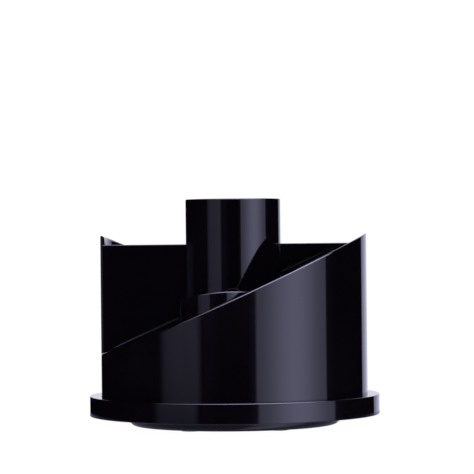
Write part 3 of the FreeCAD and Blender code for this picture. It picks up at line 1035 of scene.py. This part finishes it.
@dataclass
class Foot:
    """The low foot with its rubber pads."""

    levels: Levels
    race: Race = Race()
    bottom_radius: float = 53.6
    top_radius: float = 54.4
    height: float = 4.7
    plate: float = 1.8
    skirt: float = 4.4
    edge_round: float = 0.5
    lower_round: float = 2.8
    rib_thick: float = 1.6
    rib_raise: float = 0.2
    well_radius: float = 11.0
    well_wall: float = 1.6
    hub_radius: float = 10.56
    bush_radius: float = 8.06
    seat_outer: float = 38.3
    seat_inner: float = 29.7
    seat_lip: float = 1.2
    pad_count: int = 6
    pad_circle: float = 43.0
    pad_radius: float = 5.3
    pad_clear: float = 0.1
    pad_recess: float = 0.8
    pad_round: float = 0.2
    pad_boss_wall: float = 1.2

    def disc(self) -> Workpiece:
        """Make the moulded foot.

        Returns:
            The foot.
        """
        low = self.levels.foot_bottom
        top = low + self.height
        under = top - self.plate
        disc = Workpiece.cylinder("foot_disc_moulding", self.bottom_radius, low, top,
                                  top_radius=self.top_radius)
        disc.sink(level_face(low), self.skirt, UP * (under - low))
        disc.round_edges(level_edge(top), self.edge_round, steps=4)
        disc.round_edges(level_circle(low, self.bottom_radius), self.lower_round, steps=10)
        well = Workpiece.cylinder("well", self.well_radius + self.well_wall, low, under + PAST,
                                  around=AROUND_MIDDLE, bore=self.well_radius)
        disc.combine(well, Combine.JOIN)
        half = self.rib_thick / 2
        rib_low = low + self.rib_raise
        inner = self.well_radius + self.well_wall / 2
        rib = Workpiece.block("rib", Vector((inner, -half, rib_low)),
                              Vector((self.bottom_radius - self.skirt / 2, half, under + PAST)))
        disc.combine(rib.ring(self.pad_count, 180.0 / self.pad_count), Combine.JOIN)
        recess = self.pad_radius + self.pad_clear
        for radius, start, end, how in (
                (recess + self.pad_boss_wall, rib_low, under + PAST, Combine.JOIN),
                (recess, low - PAST, low + self.pad_recess, Combine.CUT)):
            place = Workpiece.cylinder("pad_place", radius, start, end,
                                       polar(self.pad_circle, 0.0), AROUND_SMALL)
            disc.combine(place.ring(self.pad_count), how)
        race_seat = self.levels.race_seat
        hub_top = self.levels.hub_top
        lip_top = race_seat + self.seat_lip
        for radius, bore, start, end, how in (
                (self.seat_outer, self.seat_inner, top - PAST, lip_top, Combine.JOIN),
                (self.race.outer, self.race.inner, race_seat, lip_top + PAST, Combine.CUT),
                (self.hub_radius, None, top - PAST, hub_top, Combine.JOIN),
                (self.bush_radius, None, low, hub_top + PAST, Combine.CUT)):
            ring = Workpiece.cylinder("ring", radius, start, end, around=AROUND_MIDDLE, bore=bore)
            disc.combine(ring, how)
        disc.smooth()
        return disc

    def pads(self) -> Workpiece:
        """Make the ring of rubber pads.

        Returns:
            The ring.
        """
        pads = Workpiece.cylinder("foot_pad_set", self.pad_radius, 0.0,
                                  self.levels.foot_bottom + self.pad_recess,
                                  polar(self.pad_circle, 0.0), AROUND_SMALL)
        pads.round_edges(level_edge(0.0), self.pad_round, steps=4)
        pads.ring(self.pad_count)
        pads.smooth()
        return pads

    def build(self) -> None:
        """Make the foot and its pads."""
        self.disc().hand_over("foot_disc", body=Body.FOOT, slot=Slot.FOOT_BLACK, finish=FOOT_BLACK)
        self.pads().hand_over("foot_pads", body=Body.FOOT, slot=Slot.RUBBER, finish=PAD_RUBBER)


@dataclass
class Hardware:
    """The small metal and nylon pieces, which keep their shape from the frame."""

    pieces: dict[Finish, tuple[str, ...]] = field(default_factory=lambda: {
        ZINC_PLATE: ("wall_screws", "cup_screws", "tube_screws", "pivot_screw", "retaining_washer"),
        TURNED_STEEL: ("upper_race", "lower_race"),
        POLISHED_STEEL: ("bearing_balls",),
        NATURAL_NYLON: ("ball_cage", "spindle_bush", "thrust_washer"),
    })

    def build(self) -> None:
        """Dress each piece."""
        for finish, names in self.pieces.items():
            for name in names:
                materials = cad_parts[name].data.materials
                materials.clear()
                materials.append(finish.material())
                log.info("%s: dressed as %s", name, finish.name)


# ---------------- the studio


@dataclass(frozen=True)
class Softbox:
    """A soft light far away, as a band of directions.

    Angles are degrees. The azimuth runs from the front (-Y) towards +X. It and its softness are
    given for the left and the right end, the level for the left end, the middle and the right end.
    The band lies between two heights above the horizon, whose softness is the edge.
    """

    azimuth: tuple[float, float]
    soft: tuple[float, float]
    levels: Triple
    low: float = -95.0
    high: float = 60.0
    edge: float = 4.2

    def level(self, graph: Graph, azimuth: Value, height: Value) -> Value:
        """How bright this light is in a direction.

        Args:
            graph: the graph of the world.
            azimuth: the direction's azimuth, in degrees.
            height: the direction's height above the horizon, in degrees.

        Returns:
            The brightness.
        """
        left, right = self.azimuth
        left_soft, right_soft = self.soft
        left_level, middle_level, right_level = self.levels
        after_left = graph.span(azimuth, left - left_soft, left + left_soft)
        after_right = graph.span(azimuth, right - right_soft, right + right_soft)
        over_low = graph.span(height, self.low - self.edge, self.low + self.edge)
        over_high = graph.span(height, self.high - self.edge, self.high + self.edge)
        middle = (left + right) / 2
        rise = graph.span(azimuth, left, middle, left_level, middle_level)
        fall = graph.span(azimuth, middle, right, 0.0, right_level - middle_level)
        return after_left * (1.0 - after_right) * over_low * (1.0 - over_high) * (rise + fall)


@dataclass
class Studio:
    """White floor and surroundings, softboxes and the camera.

    Lengths are mm. The softboxes are tinted, less so behind the organiser, where they light rims.
    """

    floor_half: float = 9000.0
    floor_gap: float = 0.02
    floor_white: float = 0.9
    floor_glow: float = 0.96
    glow_strength: float = 1.03
    near_floor: float = 118.0
    far_floor: float = 146.0
    # painted reflection: strength of the tinted glow that reflections see on the floor near the
    # organiser
    painted_reflection_glow: float = 0.35
    painted_reflection_clear: float = 0.4
    camera_distance: float = 1272.0
    camera_height: float = 97.0
    camera_aside: float = 2.0
    camera_reach: float = 100000.0
    focal_px: float = 2480.0
    picture_px: float = 474.0
    sensor: float = 36.0
    roll: float = -0.57
    horizon_shift: float = -0.00305
    fill: float = 0.9
    tint: Colour = (0.97, 0.95, 1.45)
    rim_tint: Colour = (0.98, 0.965, 1.09)
    rim_from: float = 148.0
    rim_wide: float = 22.0
    softboxes: tuple[Softbox, ...] = (
        # the left box and the glow beside it
        Softbox(azimuth=(-63.6, -29.4), soft=(4.5, 3.4), levels=(0.30, 0.40, 0.44), low=-4.4),
        Softbox(azimuth=(-26.0, -13.0), soft=(3.0, 4.0), levels=(0.05, 0.035, 0.02), low=-4.4),
        # the right box and the glow on both its sides
        Softbox(azimuth=(18.7, 85.4), soft=(1.6, 1.2), levels=(0.82, 2.2, 0.77)),
        Softbox(azimuth=(14.0, 19.0), soft=(2.5, 1.0), levels=(0.05, 0.05, 0.05)),
        Softbox(azimuth=(85.0, 93.0), soft=(1.0, 4.0), levels=(0.025, 0.025, 0.02)),
        # the box overhead
        Softbox(azimuth=(-76.0, 88.0), soft=(4.0, 3.0), levels=(3.0, 10.2, 10.8), low=32.0,
                high=86.0, edge=8.0),
        # one box behind, in two parts that meet at the back
        Softbox(azimuth=(145.0, 181.0), soft=(1.2, 0.5), levels=(0.68, 0.97, 1.0), low=-12.0,
                edge=5.0),
        Softbox(azimuth=(-181.0, -168.0), soft=(0.5, 2.0), levels=(1.0, 1.0, 1.0), low=-12.0,
                edge=5.0),
    )

    def camera(self) -> None:
        """A level camera in front of the organiser, on a long lens."""
        data = bpy.data.cameras.new("camera")
        data.sensor_width = self.sensor
        data.lens = self.focal_px / self.picture_px * self.sensor
        data.shift_y = self.horizon_shift
        data.clip_end = self.camera_reach * MM
        camera = bpy.data.objects.new("camera", data)
        bpy.context.scene.collection.objects.link(camera)
        level = Matrix.Rotation(math.radians(90.0), 4, "X")
        roll = Matrix.Rotation(math.radians(self.roll), 4, "Z")
        place = Vector((self.camera_aside, -self.camera_distance, self.camera_height)) * MM
        camera.matrix_world = Matrix.Translation(place) @ level @ roll
        bpy.context.scene.camera = camera

    def floor(self) -> None:
        """A white floor that keeps a faint shadow and is left out of reflections far off; nearer
        in, reflections see a painted glow on it in place of its lit paint.
        """
        bpy.ops.mesh.primitive_plane_add(size=2 * self.floor_half * MM,
                                         location=-self.floor_gap * UP * MM)
        floor = bpy.context.active_object
        floor.name = "floor"
        material = bpy.data.materials.new("white_floor")
        material.use_nodes = True
        graph = Graph(material.node_tree)
        grey = (self.floor_white, self.floor_white, self.floor_white)
        paint = graph.node("ShaderNodeBsdfDiffuse", None, {"Color": grey})
        glow = graph.glow("Emission", WHITE, self.glow_strength)
        # painted reflection: a tinted glow that only reflections see on the floor near the
        # organiser, where its lit paint lies in shade
        painted_reflection_glow = graph.glow("Emission", self.tint, self.painted_reflection_glow)
        clear = graph.node("ShaderNodeBsdfTransparent")
        flat = graph.node("ShaderNodeVectorMath", {"operation": "LENGTH"},
                          {0: graph.place()}, "Value")
        far = graph.span(flat, self.near_floor * MM, self.far_floor * MM)
        seen = graph.mix(graph.ray("Camera") * self.floor_glow, paint, glow)
        share = self.painted_reflection_clear + (1.0 - self.painted_reflection_clear) * far
        whole = graph.mix(graph.ray("Glossy"), seen, graph.mix(share, painted_reflection_glow, clear))
        graph.node("ShaderNodeOutputMaterial", None, {"Surface": whole})
        floor.data.materials.append(material)

    def surroundings(self) -> None:
        """White to the camera, an even fill for matt surfaces, softboxes for polished ones."""
        world = bpy.data.worlds.new("studio")
        bpy.context.scene.world = world
        world.use_nodes = True
        graph = Graph(world.node_tree)
        way = graph.node("ShaderNodeTexCoord", output="Generated")
        parts = {axis: graph.node("ShaderNodeSeparateXYZ", None, {0: way}, axis) for axis in "XYZ"}
        in_degrees = math.degrees(1.0)
        azimuth = in_degrees * graph.math("ARCTAN2", parts["X"], -1.0 * parts["Y"])
        height = in_degrees * graph.math("ARCSINE", parts["Z"])
        lit = sum((box.level(graph, azimuth, height) for box in self.softboxes[1:]),
                  self.softboxes[0].level(graph, azimuth, height))
        behind = graph.span(graph.math("ABSOLUTE", azimuth), self.rim_from,
                            self.rim_from + self.rim_wide)
        boxes = graph.glow("Background", graph.blend(behind, self.tint, self.rim_tint), lit)
        fill = graph.glow("Background", WHITE, self.fill)
        white = graph.glow("Background", WHITE, self.glow_strength)
        polished = graph.mix(graph.ray("Glossy"), fill, boxes)
        seen = graph.mix(graph.ray("Camera"), polished, white)
        graph.node("ShaderNodeOutputWorld", None, {"Surface": seen})

    def build(self) -> None:
        """Set up the whole studio."""
        bpy.context.scene.view_settings.view_transform = "Standard"
        self.camera()
        self.floor()
        self.surroundings()


def main() -> None:
    """Build the studio and every sub-assembly, in order."""
    logging.basicConfig(level=logging.INFO, format="%(name)s: %(message)s")
    Studio().build()
    levels = Levels.read()
    cups = ClipCups(levels)
    walls = Walls(levels, cups)
    tube = PenTube(levels)
    sub_assemblies = (Foot(levels), Tray(levels, walls, tube), walls, tube,
                      Dividers(levels, walls, tube), cups, Hardware())
    for sub_assembly in sub_assemblies:
        log.info("building %s", type(sub_assembly).__name__)
        sub_assembly.build()


if __name__ == "__main__":
    main()
